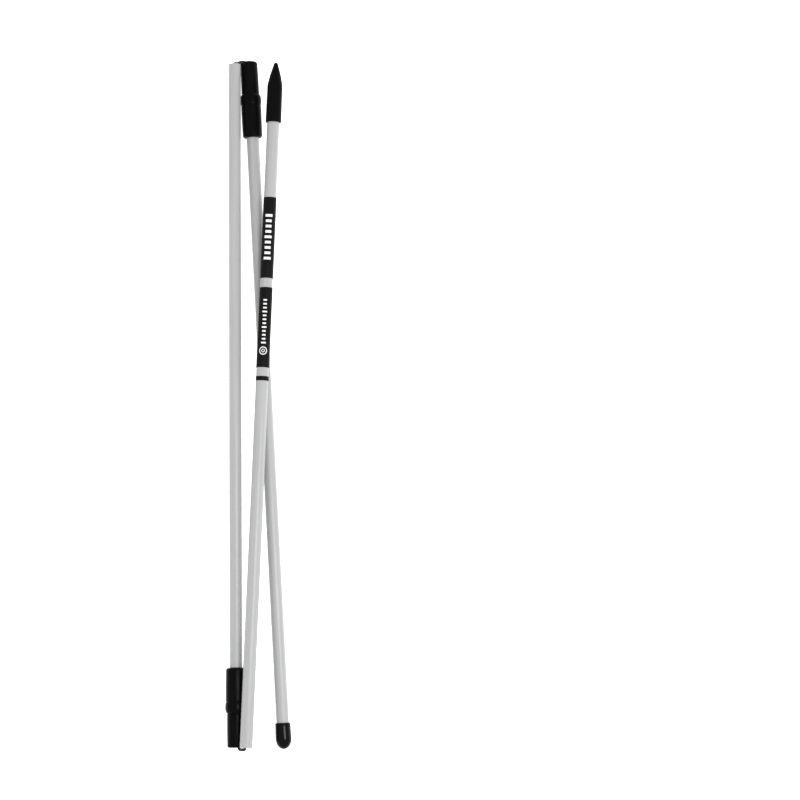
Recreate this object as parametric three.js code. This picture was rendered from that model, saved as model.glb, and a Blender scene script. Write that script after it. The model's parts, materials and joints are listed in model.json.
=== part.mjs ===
// A three-section alignment stick, folded flat in a Z: three fibreglass tubes, two black
// moulded sleeves, a pointed ground tip, a round cap, and one elastic cord through them all.
// Millimetres, +Z up. The stick's length runs along Y.

import * as THREE from "three";

// ---------------------------------------------------------------- driving dimensions

// Tubes
const TUBE_OUTER_R = 3.85;
const TUBE_WALL = 1.55;

// Section lengths, each from its open end to the end of its fittings
const POINT_LENGTH = 421.3;
const MIDDLE_LENGTH = 420.4;
const ROUND_LENGTH = 424.3;

// Sleeves: a tube is bonded in the thicker half, and the next section plugs into the other
const SLEEVE_LENGTH = 48;
const SLEEVE_MOUTH_WALL = 1.45;
const SLEEVE_BOND_WALL = 2.15;
const SLEEVE_END_TAPER = 0.12; // how much thinner each end's wall is than it is at the bead
const SLEEVE_MOUTH_CORNER_R = 1.1;
const SLEEVE_BOND_CORNER_R = 1.7;
const SLEEVE_STOP_THICKNESS = 1; // the web between the two sockets
const MOUTH_CHAMFER = 0.3;
const BEAD_LENGTH = 6.8;
const BEAD_HEIGHT = 0.35; // above the thicker half
const GROOVE_WIDTH = 0.5;
const GROOVE_DEPTH = 0.25;

// Ground tip
const TIP_LENGTH = 38.2;
const TIP_NOSE_LENGTH = 15.5;
const TIP_RIM_WALL = 0.85;
const TIP_SHOULDER_WALL = 0.7;
const TIP_POINT_R = 1.3;
const TIP_SOCKET_DEPTH = 18;

// Round cap
const CAP_LENGTH = 15.8;
const CAP_DOME_LENGTH = 6.4;
const CAP_WALL = 0.85;
const CAP_RIM_TAPER = 0.15;
const CAP_SOCKET_DEPTH = 7;
const FITTING_RIM_CORNER_R = 0.7;

// Elastic cord, its stop washers and its stop knots
const CORD_R = 0.95;
const KNOT_R = 2.6;
const KNOT_LENGTH = 4.4;
const WASHER_THICKNESS = 0.8;
const LOOP_DEPTH_IN_TUBE = 8; // how far a cord loop's node reaches down the plain tube

// Printed wraps on the pointed section, as distances from the apex
const WRAP_THICKNESS = 0.12;
const UPPER_WRAP = { from: 85.5, to: 135.9 };
const LOWER_WRAP = { from: 141.6, to: 191.1 };
const THIN_WRAP = { from: 196.5, to: 199.2 };

// Clearances
const BOND_LINE = 0.15; // radial, tube in sleeve, tip or cap
const WRAP_CLEARANCE = 0.06; // radial, wrap on tube
const CORD_HOLE_CLEARANCE = 0.55; // radial, cord in the sleeve's stop
const WASHER_HOLE_CLEARANCE = 0.35; // radial, cord in washer
const WASHER_RIM_CLEARANCE = 0.4; // radial, washer in tip or cap
const CORD_LIP_CLEARANCE = 0.15; // cord over the edge of a mouth or a tube
const SEAT_GAP = 0.3; // axial, between pieces that touch
const FOLD_GAP = 0.35; // between a section that lies beside or over another, and that one

// How the folded sections lie
const ROUND_MOUTH_OVERHANG = 2.3; // the round section's mouth, past the middle tube's end
const POINT_END_OVERHANG = 0.15; // the pointed tube's end, past the middle sleeve's mouth
// how far round the sleeve the cord lies where it crosses from the round mouth to the middle tube
const UPPER_CORD_SWING = THREE.MathUtils.degToRad(60);
const ROUND_SPLAY = THREE.MathUtils.degToRad(2.73);
const POINT_SPLAY = THREE.MathUtils.degToRad(2.65);
// where a neighbour lies around a sleeve's bead: 0 is level with it, 90 on top of it
const MIDDLE_ROUND_THE_BEAD = THREE.MathUtils.degToRad(24);
const POINT_ROUND_THE_BEAD = THREE.MathUtils.degToRad(44.8);

// Mesh fineness
const TURNED_SIDES = 32;
const SMALL_SIDES = 16;
const CORD_SIDES = 8;

// ---------------------------------------------------------------- worked-out dimensions

const TUBE_BORE_R = TUBE_OUTER_R - TUBE_WALL;
const SOCKET_R = TUBE_OUTER_R + BOND_LINE;
const SLEEVE_MOUTH_R = SOCKET_R + SLEEVE_MOUTH_WALL;
const SLEEVE_BOND_R = SOCKET_R + SLEEVE_BOND_WALL;
const BEAD_OUTER_R = SLEEVE_BOND_R + BEAD_HEIGHT;
const TIP_RIM_R = SOCKET_R + TIP_RIM_WALL;
const TIP_SHOULDER_R = SOCKET_R + TIP_SHOULDER_WALL;
const CAP_OUTER_R = SOCKET_R + CAP_WALL;
const CORD_HOLE_R = CORD_R + CORD_HOLE_CLEARANCE;
const WASHER_HOLE_R = CORD_R + WASHER_HOLE_CLEARANCE;
const WASHER_OUTER_R = SOCKET_R - WASHER_RIM_CLEARANCE;
const WRAP_INNER_R = TUBE_OUTER_R + WRAP_CLEARANCE;
const WRAP_OUTER_R = WRAP_INNER_R + WRAP_THICKNESS;
const MOUTH_LIP_R = SOCKET_R + MOUTH_CHAMFER / 10;
const STOP_Y = SLEEVE_LENGTH / 2;
const SLEEVED_TUBE_START = STOP_Y + SLEEVE_STOP_THICKNESS / 2 + SEAT_GAP;

const TIP_RIM_Y = POINT_LENGTH - TIP_LENGTH;
const CAP_RIM_Y = ROUND_LENGTH - CAP_LENGTH;
const POINT_TUBE_END = TIP_RIM_Y + TIP_SOCKET_DEPTH;
const ROUND_TUBE_END = CAP_RIM_Y + CAP_SOCKET_DEPTH;

// ---------------------------------------------------------------- shapes

/** A solid of revolution about the local Y axis from [radius, y] points. */
function turned(outline, sides = TURNED_SIDES) {
  const points = outline.map(([radius, y]) => new THREE.Vector2(radius, y));
  return new THREE.LatheGeometry(points, sides);
}

/** Points on a quarter or part of an ellipse, in an outline's [radius, y] form. */
function arc([centreR, centreY], radiusR, radiusY, fromDeg, toDeg, steps) {
  return Array.from({ length: steps + 1 }, (_, i) => {
    const angle = THREE.MathUtils.degToRad(fromDeg + ((toDeg - fromDeg) * i) / steps);
    return [centreR + radiusR * Math.cos(angle), centreY + radiusY * Math.sin(angle)];
  });
}

/** A section's tube from y = start to y = end. */
function tube(start, end) {
  return pipe(TUBE_BORE_R, TUBE_OUTER_R, start, end);
}

/** A stop washer on the cord, from y = start. */
function washer(start) {
  const end = start + WASHER_THICKNESS;
  return pipe(WASHER_HOLE_R, WASHER_OUTER_R, start, end, SMALL_SIDES);
}

/** A rim's outer corner, rounded as far as the wall allows, from its flat end at y = 0. */
function roundedRim(outerR, cornerR, steps) {
  const radius = Math.min(cornerR, outerR - MOUTH_LIP_R);
  return arc([outerR - radius, radius], radius, radius, -85, 0, steps);
}

/** The same points on the far side of y = middle, in the order that goes on from there. */
function mirrored(points, middle) {
  return points.map(([radius, y]) => [radius, 2 * middle - y]).reverse();
}

/** A straight pipe from y = start to y = end. */
function pipe(innerR, outerR, start, end, sides = TURNED_SIDES) {
  const outline = [
    [innerR, start],
    [outerR, start],
    [outerR, end],
    [innerR, end],
    [innerR, start],
  ];
  return turned(outline, sides);
}

/** A sleeve from y = 0, its open mouth, with a stop web and a bead halfway along. */
function sleeve() {
  const halfBead = BEAD_LENGTH / 2;
  const halfStop = SLEEVE_STOP_THICKNESS / 2;
  const outside = (outerR, cornerR) => [
    [MOUTH_LIP_R, 0],
    ...roundedRim(outerR - SLEEVE_END_TAPER, cornerR, 4),
    [outerR, STOP_Y - halfBead - 2 * GROOVE_WIDTH],
    [outerR - GROOVE_DEPTH, STOP_Y - halfBead - GROOVE_WIDTH],
  ];
  const halfOfBead = (outerR, fromDeg, toDeg) => {
    const grooveR = outerR - GROOVE_DEPTH;
    return arc([grooveR, STOP_Y], BEAD_OUTER_R - grooveR, halfBead, fromDeg, toDeg, 5);
  };
  const inside = [
    [CORD_HOLE_R, STOP_Y - halfStop],
    [SOCKET_R, STOP_Y - halfStop],
    [SOCKET_R, MOUTH_CHAMFER],
    [MOUTH_LIP_R, 0],
  ];
  return turned([
    ...outside(SLEEVE_MOUTH_R, SLEEVE_MOUTH_CORNER_R),
    ...halfOfBead(SLEEVE_MOUTH_R, -80, 0),
    ...halfOfBead(SLEEVE_BOND_R, 0, 80).slice(1),
    ...mirrored(outside(SLEEVE_BOND_R, SLEEVE_BOND_CORNER_R), STOP_Y),
    ...mirrored(inside, STOP_Y).slice(1),
    ...inside,
  ]);
}

/** The room for a washer and a knot, from the axis at its end back to the socket. */
function knotRoom(seatY) {
  const washerTop = seatY + SEAT_GAP + WASHER_THICKNESS;
  const knotTop = washerTop + SEAT_GAP + KNOT_LENGTH;
  const roomR = SOCKET_R - BOND_LINE;
  return [
    [0, knotTop + SEAT_GAP],
    [KNOT_R * 0.8, knotTop + SEAT_GAP / 2],
    [roomR, washerTop + KNOT_LENGTH / 2],
    [roomR, washerTop],
    [SOCKET_R, washerTop],
  ];
}

/** The pointed tip from y = 0, its rim, to the blunt point. */
function tip() {
  const shoulderY = TIP_LENGTH - TIP_NOSE_LENGTH;
  const noseSteps = 7;
  const nose = Array.from({ length: noseSteps + 1 }, (_, i) => {
    const along = i / noseSteps;
    const radius = TIP_POINT_R + (TIP_SHOULDER_R - TIP_POINT_R) * (1 - along ** 1.35);
    return [radius, shoulderY + (TIP_NOSE_LENGTH - TIP_POINT_R) * along];
  });
  const point = arc([0, TIP_LENGTH - TIP_POINT_R], TIP_POINT_R, TIP_POINT_R, 30, 90, 2);
  point[point.length - 1][0] = 0;
  return turned([
    ...knotRoom(TIP_SOCKET_DEPTH),
    [SOCKET_R, MOUTH_CHAMFER],
    [MOUTH_LIP_R, 0],
    ...roundedRim(TIP_RIM_R, FITTING_RIM_CORNER_R, 3),
    ...nose,
    ...point,
  ]);
}

/** The round cap from y = 0, its rim, to the top of its dome. */
function cap() {
  const domeY = CAP_LENGTH - CAP_DOME_LENGTH;
  const dome = arc([0, domeY], CAP_OUTER_R, CAP_DOME_LENGTH, 0, 90, 9);
  dome[dome.length - 1][0] = 0;
  return turned([
    ...knotRoom(CAP_SOCKET_DEPTH),
    [SOCKET_R, MOUTH_CHAMFER],
    [MOUTH_LIP_R, 0],
    ...roundedRim(CAP_OUTER_R - CAP_RIM_TAPER, FITTING_RIM_CORNER_R, 3),
    ...dome,
  ]);
}

/** A straight run of cord that ends in its stop knot, past a washer seated at seatY. */
function knottedCord(start, seatY) {
  const knotStart = seatY + 2 * SEAT_GAP + WASHER_THICKNESS;
  const knotMiddle = knotStart + KNOT_LENGTH / 2;
  const knot = arc([0, knotMiddle], KNOT_R, KNOT_LENGTH / 2, -60, 90, 6);
  knot[knot.length - 1][0] = 0;
  return turned([[0, start], [CORD_R, start], [CORD_R, knotStart], ...knot], SMALL_SIDES);
}

/** A straight run of cord with flat ends. */
function straightCord(start, end) {
  return turned([[0, start], [CORD_R, start], [CORD_R, end], [0, end]], SMALL_SIDES);
}

/**
 * The cord where two sections fold: from the stop in the sleeve, out over the sleeve's wall and
 * into the plain tube beside it. Distances are [across, outward] from the centre of the mouth,
 * and the plain tube's end is at [span, drop].
 */
function foldedCordRoute(span, drop) {
  const off = CORD_R + CORD_LIP_CLEARANCE; // from an edge to the cord's middle
  const lip = SOCKET_R;
  const tubeLip = span - TUBE_BORE_R;
  const overBothWalls = [0.25, 0.5, 0.75].map((share) => [
    THREE.MathUtils.lerp(lip, tubeLip, share),
    off + drop * THREE.MathUtils.smoothstep(share, 0, 1) + 0.03,
  ]);
  return [
    [0, -STOP_Y],
    [0, -16],
    [0.7, -10],
    [1.8, -4],
    [lip - off - 0.05, -1.2],
    [lip - off + 0.1, 0],
    [lip - 0.7 * off, 0.7 * off],
    [lip, off],
    ...overBothWalls,
    [tubeLip + 0.35, drop + off],
    [tubeLip + 0.8 * off, drop + 0.5 * off],
    [tubeLip + off - 0.05, drop - 0.5],
    [span - 0.4, drop - 3],
    [span, drop - 6],
    [span, drop - LOOP_DEPTH_IN_TUBE],
  ];
}

/** A round cord along world points. */
function cordAlong(points) {
  const section = new THREE.Shape();
  for (let i = 0; i < CORD_SIDES; i += 1) {
    const angle = (2 * Math.PI * i) / CORD_SIDES;
    section[i ? "lineTo" : "moveTo"](CORD_R * Math.cos(angle), CORD_R * Math.sin(angle));
  }
  section.closePath();
  const extrudePath = new THREE.CatmullRomCurve3(points, false, "centripetal");
  return new THREE.ExtrudeGeometry(section, { steps: 60, extrudePath });
}

// ---------------------------------------------------------------- materials

const fibreglass = new THREE.MeshStandardMaterial({ color: 0xd2d3d6, roughness: 0.32 });
const blackMoulding = new THREE.MeshStandardMaterial({ color: 0x101011, roughness: 0.28 });
const blackVinyl = new THREE.MeshStandardMaterial({ color: 0x0d0d0e, roughness: 0.2 });
const blackPrint = new THREE.MeshStandardMaterial({ color: 0x18181a, roughness: 0.45 });
const blackCord = new THREE.MeshStandardMaterial({ color: 0x0c0c0d, roughness: 0.85 });
const zincPlate = new THREE.MeshStandardMaterial({
  color: 0xb9bcc0,
  roughness: 0.35,
  metalness: 1,
});

/** Adds a named piece to a group. */
function piece(group, name, geometry, material) {
  const mesh = new THREE.Mesh(geometry, material);
  mesh.name = name;
  group.add(mesh);
  return mesh;
}

// ---------------------------------------------------------------- where each section lies

// The middle section rests on its bead at the mouth end, and its plain end is propped beside
// the round section's sleeve, which rests on its own bead and on its cap. The pointed section
// lies on the middle sleeve's bead and over the round section. X and Y are measured from the
// middle section's mouth, and each height is carried from a bead along its section's slope.
const beadZ = BEAD_OUTER_R;
const beadSpacing = BEAD_OUTER_R + TUBE_OUTER_R + FOLD_GAP;
const roundMouthY = MIDDLE_LENGTH + ROUND_MOUTH_OVERHANG;

const roundSlope = Math.asin((beadZ - CAP_OUTER_R) / (CAP_RIM_Y - STOP_Y));
const roundMouthX = beadSpacing * Math.cos(MIDDLE_ROUND_THE_BEAD) - STOP_Y * Math.sin(ROUND_SPLAY);
const roundMouthZ = beadZ + STOP_Y * Math.sin(roundSlope);

const middlePropRise = beadSpacing * Math.sin(MIDDLE_ROUND_THE_BEAD);
const middleSlope = Math.atan(middlePropRise / (roundMouthY - 2 * STOP_Y));
const middleMouthZ = beadZ - STOP_Y * Math.sin(middleSlope);

const pointBeadZ = beadZ + beadSpacing * Math.sin(POINT_ROUND_THE_BEAD);
const pointBeadRun = STOP_Y + POINT_END_OVERHANG;
const pointEndX =
  beadSpacing * Math.cos(POINT_ROUND_THE_BEAD) - pointBeadRun * Math.tan(POINT_SPLAY);
const crossingY =
  (roundMouthX + roundMouthY * Math.tan(ROUND_SPLAY) - pointEndX -
    POINT_END_OVERHANG * Math.tan(POINT_SPLAY)) /
  (Math.tan(ROUND_SPLAY) + Math.tan(POINT_SPLAY));
const roundCrossingZ = roundMouthZ - (roundMouthY - crossingY) * Math.tan(roundSlope);
const pointCrossingZ = roundCrossingZ + TUBE_OUTER_R + WRAP_OUTER_R + FOLD_GAP;
const pointSlope = Math.atan((pointCrossingZ - pointBeadZ) / (crossingY - STOP_Y));
const pointEndZ = pointBeadZ - pointBeadRun * Math.tan(pointSlope);

const stick = new THREE.Group();

const middle = new THREE.Group();
middle.position.set(0, 0, middleMouthZ);
middle.rotation.x = middleSlope;

const point = new THREE.Group();
point.position.set(pointEndX, -POINT_END_OVERHANG, pointEndZ);
point.rotation.set(pointSlope, 0, -POINT_SPLAY);

const round = new THREE.Group();
round.position.set(roundMouthX, roundMouthY, roundMouthZ);
round.rotation.set(roundSlope, 0, Math.PI + ROUND_SPLAY);

stick.add(middle, point, round);
stick.updateMatrixWorld(true);

// ---------------------------------------------------------------- middle section

piece(middle, "middle_tube", tube(SLEEVED_TUBE_START, MIDDLE_LENGTH), fibreglass);
piece(middle, "middle_sleeve", sleeve(), blackMoulding);
piece(
  middle,
  "middle_cord",
  straightCord(STOP_Y + SEAT_GAP, MIDDLE_LENGTH - LOOP_DEPTH_IN_TUBE - SEAT_GAP),
  blackCord,
);

// ---------------------------------------------------------------- pointed section

piece(point, "point_tube", tube(0, POINT_TUBE_END), fibreglass);
piece(point, "point_tip", tip(), blackMoulding).position.y = TIP_RIM_Y;
piece(point, "point_cord_washer", washer(POINT_TUBE_END + SEAT_GAP), zincPlate);
piece(point, "point_cord", knottedCord(LOOP_DEPTH_IN_TUBE + SEAT_GAP, POINT_TUBE_END), blackCord);
const wraps = {
  upper_label_band: UPPER_WRAP,
  lower_label_band: LOWER_WRAP,
  thin_label_band: THIN_WRAP,
};
for (const [name, wrap] of Object.entries(wraps)) {
  const start = POINT_LENGTH - wrap.to;
  const end = POINT_LENGTH - wrap.from;
  piece(point, name, pipe(WRAP_INNER_R, WRAP_OUTER_R, start, end), blackPrint);
}

// ---------------------------------------------------------------- round-capped section

piece(round, "round_tube", tube(SLEEVED_TUBE_START, ROUND_TUBE_END), fibreglass);
piece(round, "round_sleeve", sleeve(), blackMoulding);
piece(round, "round_cap", cap(), blackVinyl).position.y = CAP_RIM_Y;
piece(round, "round_cord_washer", washer(ROUND_TUBE_END + SEAT_GAP), zincPlate);
piece(round, "round_cord", knottedCord(STOP_Y + SEAT_GAP, ROUND_TUBE_END), blackCord);

// ---------------------------------------------------------------- cord over the folds

/** The cord from one section's sleeve to the plain end of the section folded beside it. */
function foldedCord(sleeved, plain, plainEndY, swing = 0) {
  const mouth = sleeved.localToWorld(new THREE.Vector3(0, 0, 0));
  const outward = sleeved.localToWorld(new THREE.Vector3(0, -1, 0)).sub(mouth);
  const tubeEnd = plain.localToWorld(new THREE.Vector3(0, plainEndY, 0));
  const toEnd = tubeEnd.sub(mouth);
  const drop = toEnd.dot(outward);
  const across = toEnd.addScaledVector(outward, -drop);
  const span = across.length();
  across.normalize();
  const below = new THREE.Vector3().crossVectors(across, outward);
  const inTube = new THREE.Vector3(0, plainEndY ? -1 : 1, 0);
  inTube.transformDirection(plain.matrixWorld).addScaledVector(outward, 1);
  // round the sleeve's own axis, then round the plain tube's, and straight from wall to wall
  const near = (along) => new THREE.Vector2(along, 0).rotateAround(new THREE.Vector2(), swing);
  const far = (along) =>
    new THREE.Vector2(along, 0).rotateAround(new THREE.Vector2(span, 0), -swing);
  const tubeLip = span - TUBE_BORE_R;
  const swung = (along) => {
    if (along <= SOCKET_R) return near(along);
    if (along >= tubeLip) return far(along);
    const share = (along - SOCKET_R) / (tubeLip - SOCKET_R);
    return near(SOCKET_R).lerp(far(tubeLip), share);
  };
  const route = foldedCordRoute(span, drop).map(([along, out]) => {
    const { x, y } = swung(along);
    const place = mouth.clone().addScaledVector(across, x).addScaledVector(below, y);
    place.addScaledVector(outward, out);
    // past its end, the cord follows the plain tube's own slant
    const depth = Math.max(0, drop - out);
    return along > span / 2 ? place.addScaledVector(inTube, depth) : place;
  });
  return cordAlong(route);
}

piece(stick, "lower_cord_loop", foldedCord(middle, point, 0), blackCord);
piece(stick, "upper_cord_loop", foldedCord(round, middle, MIDDLE_LENGTH, UPPER_CORD_SWING), blackCord);

// ---------------------------------------------------------------- origin under the middle

const box = new THREE.Box3().setFromObject(stick, true);
const centre = box.getCenter(new THREE.Vector3());
stick.position.set(-centre.x, -centre.y, -box.min.z);

export default stick;
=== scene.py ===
"""The looks of a three-section folding alignment stick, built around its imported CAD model.

Every piece is made in its own section's frame: Y runs along the section from its open end,
and Z points up from the surface that the folded stick lies on. Lengths are in metres.
"""

from __future__ import annotations

import json
import logging
import math
from collections.abc import Callable, Sequence
from dataclasses import dataclass, field
from enum import Enum

import bmesh
import bpy
from mathutils import Matrix, Vector

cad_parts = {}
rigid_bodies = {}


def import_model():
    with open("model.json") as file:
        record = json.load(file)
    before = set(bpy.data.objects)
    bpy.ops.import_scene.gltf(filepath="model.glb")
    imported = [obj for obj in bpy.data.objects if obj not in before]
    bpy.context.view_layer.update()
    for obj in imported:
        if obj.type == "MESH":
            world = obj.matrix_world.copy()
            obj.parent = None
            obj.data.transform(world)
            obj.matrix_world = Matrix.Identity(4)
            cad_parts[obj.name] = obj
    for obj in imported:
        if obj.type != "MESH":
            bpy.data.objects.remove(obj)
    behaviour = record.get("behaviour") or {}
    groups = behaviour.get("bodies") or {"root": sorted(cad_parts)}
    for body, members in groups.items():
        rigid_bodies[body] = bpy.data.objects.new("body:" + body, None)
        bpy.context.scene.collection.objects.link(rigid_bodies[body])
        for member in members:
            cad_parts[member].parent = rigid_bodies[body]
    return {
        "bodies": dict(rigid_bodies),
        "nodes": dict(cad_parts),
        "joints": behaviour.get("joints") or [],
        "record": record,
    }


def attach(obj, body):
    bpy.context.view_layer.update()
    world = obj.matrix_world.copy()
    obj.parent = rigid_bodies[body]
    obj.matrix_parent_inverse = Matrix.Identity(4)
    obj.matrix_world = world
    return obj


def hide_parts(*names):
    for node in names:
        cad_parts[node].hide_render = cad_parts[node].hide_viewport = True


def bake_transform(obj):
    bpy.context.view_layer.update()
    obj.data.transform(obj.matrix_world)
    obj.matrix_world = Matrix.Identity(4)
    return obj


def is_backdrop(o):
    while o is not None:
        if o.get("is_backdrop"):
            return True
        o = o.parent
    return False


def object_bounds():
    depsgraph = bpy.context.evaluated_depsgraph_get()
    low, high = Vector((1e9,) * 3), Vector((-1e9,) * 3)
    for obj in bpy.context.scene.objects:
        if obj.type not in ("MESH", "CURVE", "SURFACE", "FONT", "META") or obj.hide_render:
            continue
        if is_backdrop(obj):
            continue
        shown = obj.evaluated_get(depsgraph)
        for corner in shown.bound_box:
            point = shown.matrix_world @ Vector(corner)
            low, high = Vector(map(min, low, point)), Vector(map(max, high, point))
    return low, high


LOG = logging.getLogger("alignment_stick")
MM = 0.001
MOTTLING_REACH = 0.2  # how far either side of 0.5 a mottling is read
SLEEVED_TUBE_START = 24.8 * MM  # from the mouth, where a sleeved section's tube starts
BOND_LINE = 0.15 * MM  # between a tube and a rigid moulding that is glued to it

Outline = list[tuple[float, float]]
Relief = Callable[[float, float, float], float]


# ------------------------------------------------------------------ finishes


class Noise(Enum):
    """The kinds of mottling that a finish can carry, as stretch along X, Y and Z."""

    EVEN = (1.0, 1.0, 1.0)
    DRAWN = (1.0, 0.012, 1.0)
    FLOWED = (1.0, 0.25, 1.0)


class Bench:
    """A material's node tree, with short calls that add and join its nodes."""

    def __init__(self, name: str) -> None:
        """Starts an empty material.

        Args:
            name: the material's name.
        """
        self.material = bpy.data.materials.new(name)
        self.material.use_nodes = True
        self.tree = self.material.node_tree
        self.tree.nodes.clear()
        self.shader = self.tree.nodes.new("ShaderNodeBsdfPrincipled")
        output = self.tree.nodes.new("ShaderNodeOutputMaterial")
        self.join(self.shader.outputs["BSDF"], output.inputs["Surface"])
        self.place = self.tree.nodes.new("ShaderNodeTexCoord").outputs["Object"]

    def join(self, source: bpy.types.NodeSocket, target: bpy.types.NodeSocket) -> None:
        """Links an output to an input."""
        self.tree.links.new(source, target)

    def noise(self, kind: Noise, size: float, detail: float = 3.0) -> bpy.types.NodeSocket:
        """Adds mottling in the piece's own frame.

        Args:
            kind: how the mottling is drawn out along the piece.
            size: the width of one blotch, in metres.
            detail: how many finer layers it has.

        Returns:
            The mottling's value, about 0.5 on average.
        """
        mapping = self.tree.nodes.new("ShaderNodeMapping")
        mapping.inputs["Scale"].default_value = [share / size for share in kind.value]
        self.join(self.place, mapping.inputs["Vector"])
        texture = self.tree.nodes.new("ShaderNodeTexNoise")
        texture.inputs["Scale"].default_value = 1.0
        texture.inputs["Detail"].default_value = detail
        self.join(mapping.outputs["Vector"], texture.inputs["Vector"])
        return texture.outputs["Fac"]

    def spread(
        self, value: bpy.types.NodeSocket, low: float, high: float
    ) -> bpy.types.NodeSocket:
        """Maps a mottling's usual range onto another.

        Args:
            value: the mottling.
            low: the result where the mottling is faint.
            high: the result where it is strong.

        Returns:
            The mapped value.
        """
        node = self.tree.nodes.new("ShaderNodeMapRange")
        node.inputs["From Min"].default_value = 0.5 - MOTTLING_REACH
        node.inputs["From Max"].default_value = 0.5 + MOTTLING_REACH
        node.inputs["To Min"].default_value = low
        node.inputs["To Max"].default_value = high
        self.join(value, node.inputs["Value"])
        return node.outputs["Result"]

    def tint(
        self, value: bpy.types.NodeSocket, low: Sequence[float], high: Sequence[float]
    ) -> bpy.types.NodeSocket:
        """Turns a mottling into a colour between two.

        Args:
            value: the mottling.
            low: the colour where it is faint.
            high: the colour where it is strong.

        Returns:
            The colour.
        """
        ramp = self.tree.nodes.new("ShaderNodeValToRGB")
        ramp.color_ramp.elements[0].position = 0.5 - MOTTLING_REACH
        ramp.color_ramp.elements[0].color = (*low, 1.0)
        ramp.color_ramp.elements[1].position = 0.5 + MOTTLING_REACH
        ramp.color_ramp.elements[1].color = (*high, 1.0)
        self.join(value, ramp.inputs["Fac"])
        return ramp.outputs["Color"]

    def bump(self, height: bpy.types.NodeSocket, depth: float, strength: float) -> None:
        """Adds fine relief to the surface.

        Args:
            height: the relief, from 0 to 1.
            depth: how deep 1 is, in metres.
            strength: how much of it shows, from 0 to 1.
        """
        node = self.tree.nodes.new("ShaderNodeBump")
        node.inputs["Distance"].default_value = depth
        node.inputs["Strength"].default_value = strength
        self.join(height, node.inputs["Height"])
        self.join(node.outputs["Normal"], self.shader.inputs["Normal"])


@dataclass(frozen=True)
class Finish:
    """A surface: its two nearest tones, its gloss, its fine texture and how far it glows."""

    name: str
    dark: tuple[float, float, float]
    light: tuple[float, float, float]
    gloss: tuple[float, float]
    specular: float
    kind: Noise
    blotch: float
    texture_size: float
    texture_depth: float
    texture_strength: float
    metallic: float = 0.0
    sheen: float = 0.0
    glow: float = 0.0

    def build(self) -> bpy.types.Material:
        """Makes the material.

        Returns:
            The finished material.
        """
        bench = Bench(self.name)
        shader = bench.shader
        shader.inputs["Specular IOR Level"].default_value = self.specular
        shader.inputs["Metallic"].default_value = self.metallic
        shader.inputs["Sheen Weight"].default_value = self.sheen
        shader.inputs["Emission Color"].default_value = (1.0, 1.0, 1.0, 1.0)
        shader.inputs["Emission Strength"].default_value = self.glow
        mottling = bench.noise(self.kind, self.blotch)
        bench.join(bench.tint(mottling, self.dark, self.light), shader.inputs["Base Color"])
        wear = bench.noise(Noise.EVEN, self.blotch * 4)
        bench.join(bench.spread(wear, *self.gloss), shader.inputs["Roughness"])
        grain = bench.noise(self.kind, self.texture_size, detail=2.0)
        bench.bump(grain, self.texture_depth, self.texture_strength)
        return bench.material


FIBREGLASS = Finish(
    name="pultruded_fibreglass",
    dark=(0.272, 0.273, 0.275),
    light=(0.312, 0.313, 0.315),
    gloss=(0.3, 0.4),
    specular=0.25,
    kind=Noise.DRAWN,
    blotch=0.5 * MM,
    texture_size=0.16 * MM,
    texture_depth=0.03 * MM,
    texture_strength=0.35,
)
CUT_FIBREGLASS = Finish(
    name="sawn_fibreglass",
    dark=(0.2, 0.2, 0.195),
    light=(0.52, 0.52, 0.5),
    gloss=(0.75, 0.9),
    specular=0.2,
    kind=Noise.DRAWN,
    blotch=0.14 * MM,
    texture_size=0.12 * MM,
    texture_depth=0.06 * MM,
    texture_strength=0.8,
)
BLACK_MOULDING = Finish(
    name="black_nylon_moulding",
    dark=(0.0014, 0.0014, 0.0015),
    light=(0.0022, 0.0022, 0.0023),
    gloss=(0.3, 0.38),
    specular=0.03,
    kind=Noise.FLOWED,
    blotch=2.4 * MM,
    texture_size=0.35 * MM,
    texture_depth=0.02 * MM,
    texture_strength=0.3,
)
BLACK_VINYL = Finish(
    name="black_dipped_vinyl",
    dark=(0.0012, 0.0012, 0.0013),
    light=(0.0018, 0.0018, 0.0019),
    gloss=(0.16, 0.22),
    specular=0.07,
    kind=Noise.EVEN,
    blotch=3.0 * MM,
    texture_size=1.4 * MM,
    texture_depth=0.05 * MM,
    texture_strength=0.35,
)
BLACK_FILM = Finish(
    name="black_printed_film",
    dark=(0.0035, 0.0035, 0.0035),
    light=(0.0048, 0.0048, 0.0046),
    gloss=(0.42, 0.52),
    specular=0.05,
    kind=Noise.EVEN,
    blotch=1.1 * MM,
    texture_size=0.22 * MM,
    texture_depth=0.012 * MM,
    texture_strength=0.35,
)
WHITE_INK = Finish(
    name="white_screen_ink",
    dark=(0.56, 0.56, 0.55),
    light=(0.66, 0.66, 0.65),
    gloss=(0.5, 0.6),
    specular=0.3,
    kind=Noise.EVEN,
    blotch=0.4 * MM,
    texture_size=0.1 * MM,
    texture_depth=0.008 * MM,
    texture_strength=0.4,
)
BRAIDED_CORD = Finish(
    name="braided_polyester",
    dark=(0.006, 0.006, 0.007),
    light=(0.016, 0.016, 0.017),
    gloss=(0.62, 0.8),
    specular=0.25,
    kind=Noise.EVEN,
    blotch=0.25 * MM,
    texture_size=0.06 * MM,
    texture_depth=0.02 * MM,
    texture_strength=0.6,
    sheen=0.15,
)
GLUE = Finish(
    name="cured_epoxy",
    dark=(0.03, 0.029, 0.026),
    light=(0.06, 0.058, 0.05),
    gloss=(0.12, 0.25),
    specular=0.4,
    kind=Noise.EVEN,
    blotch=0.8 * MM,
    texture_size=0.5 * MM,
    texture_depth=0.04 * MM,
    texture_strength=0.4,
)
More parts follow.
